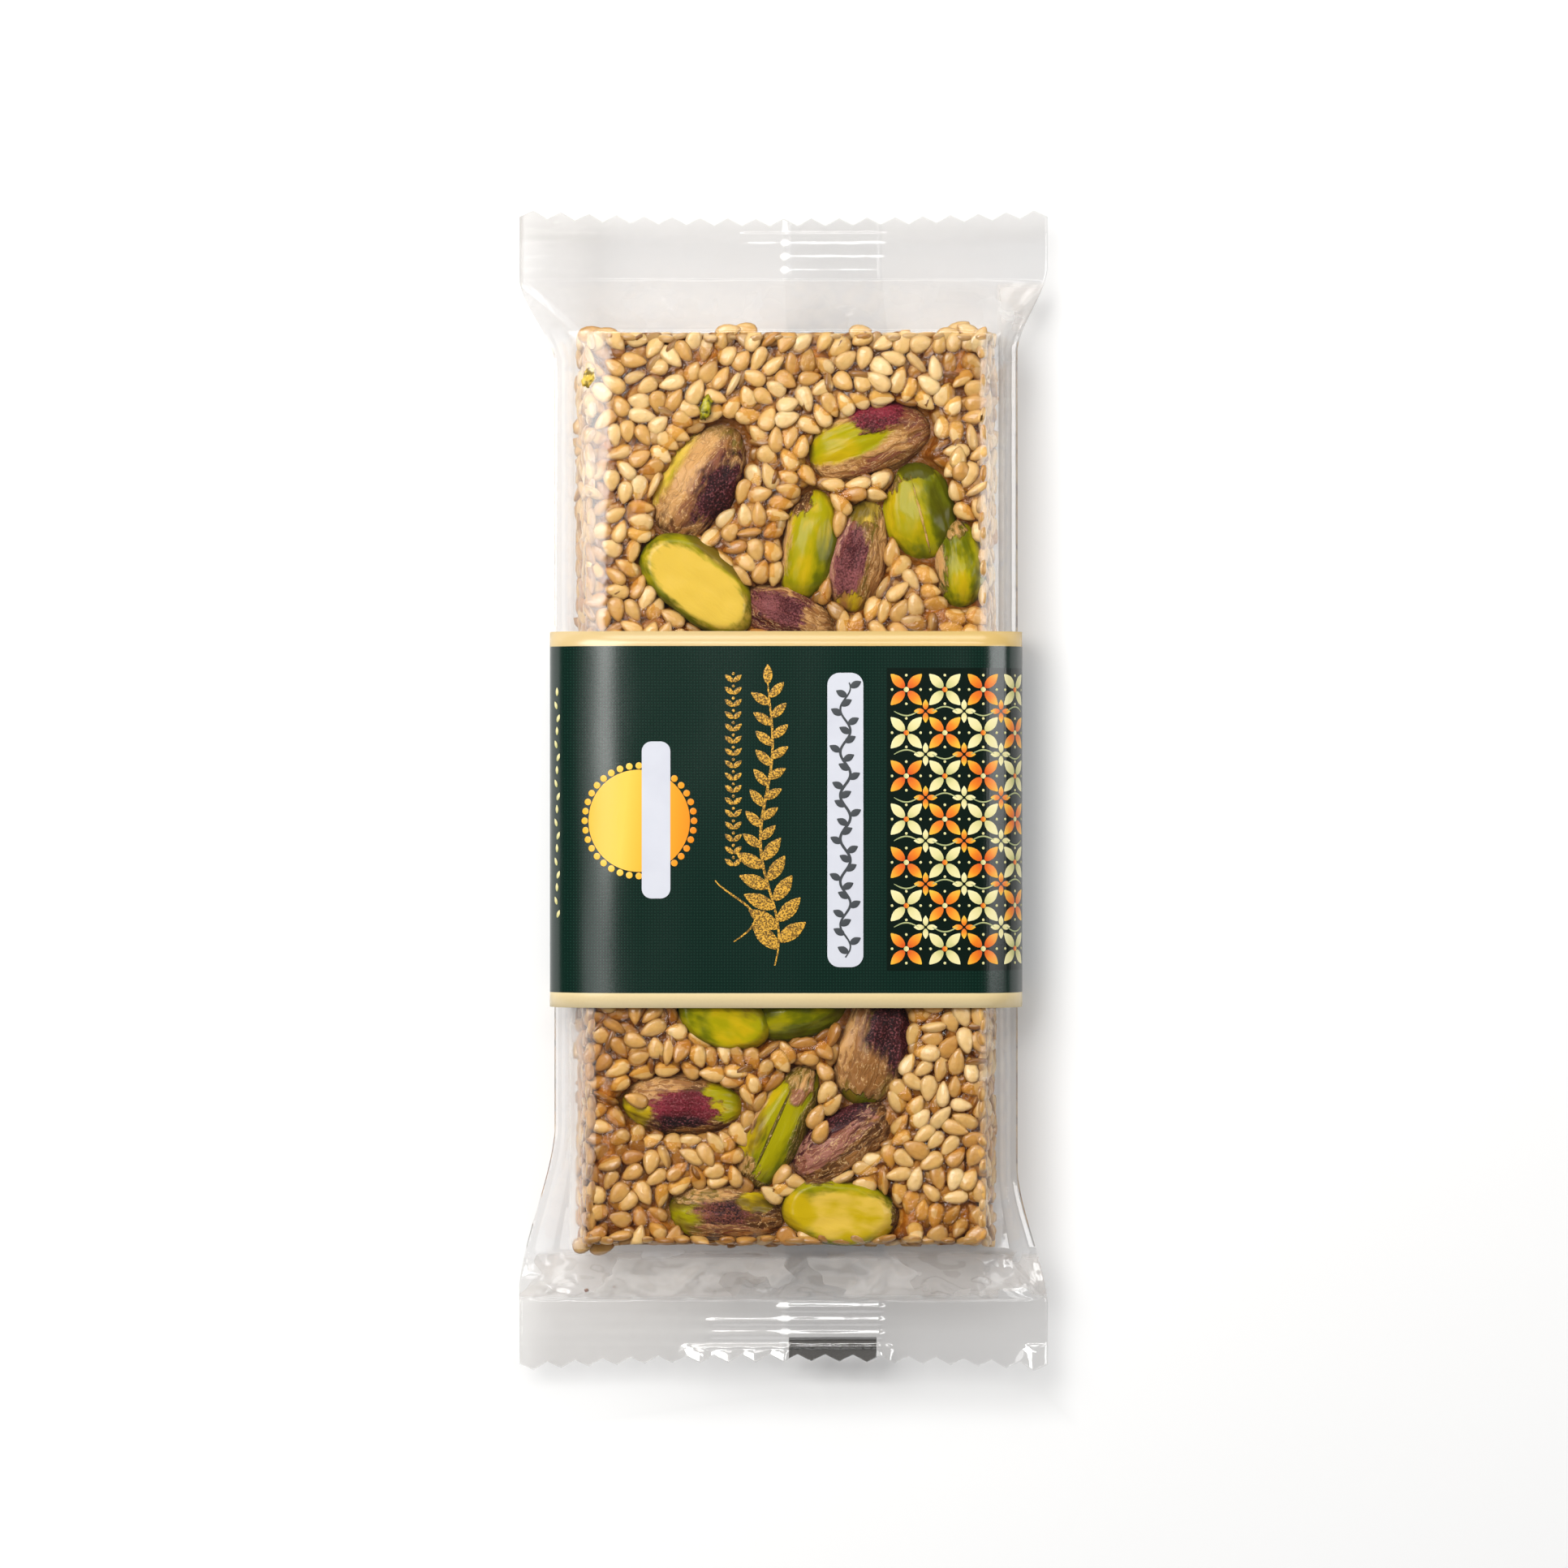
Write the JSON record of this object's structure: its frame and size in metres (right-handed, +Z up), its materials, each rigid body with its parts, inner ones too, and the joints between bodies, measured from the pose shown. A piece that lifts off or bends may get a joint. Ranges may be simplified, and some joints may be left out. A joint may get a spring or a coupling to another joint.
{
  "type": "wrapped sesame brittle bar",
  "caption": "Flat bar of sesame and pistachio brittle, sealed in a clear flow-wrap with crimped, toothed end seals and a paper band round the middle.",
  "frame": {"origin": "under the middle of the pack, on the surface that it lies on", "axes": "+Z up, out of the shown face of the bar; +Y along the bar, towards the end further from the paper band; +X across it"},
  "size_m": [0.065, 0.1432, 0.011],
  "materials": {
    "clear_film": "clear glossy film, creased along the sides and crimped at both ends",
    "band_paper": "coated paper with a satin sheen, printed dark green with cream edges",
    "caramel": "set amber sugar syrup, glossy and uneven",
    "sesame_seed": "toasted hulled seeds with a thin syrup glaze",
    "pistachio_kernel": "green kernels with wrinkled purple-brown skin, lightly glazed",
    "gold_ink": "yellow-gold printing ink",
    "white_ink": "white printing ink",
    "colour_ink": "orange, yellow and cream printing inks"
  },
  "bodies": {
    "root": {"flow_wrap": "clear_film", "paper_band": "band_paper"}
  },
  "joints": []
}
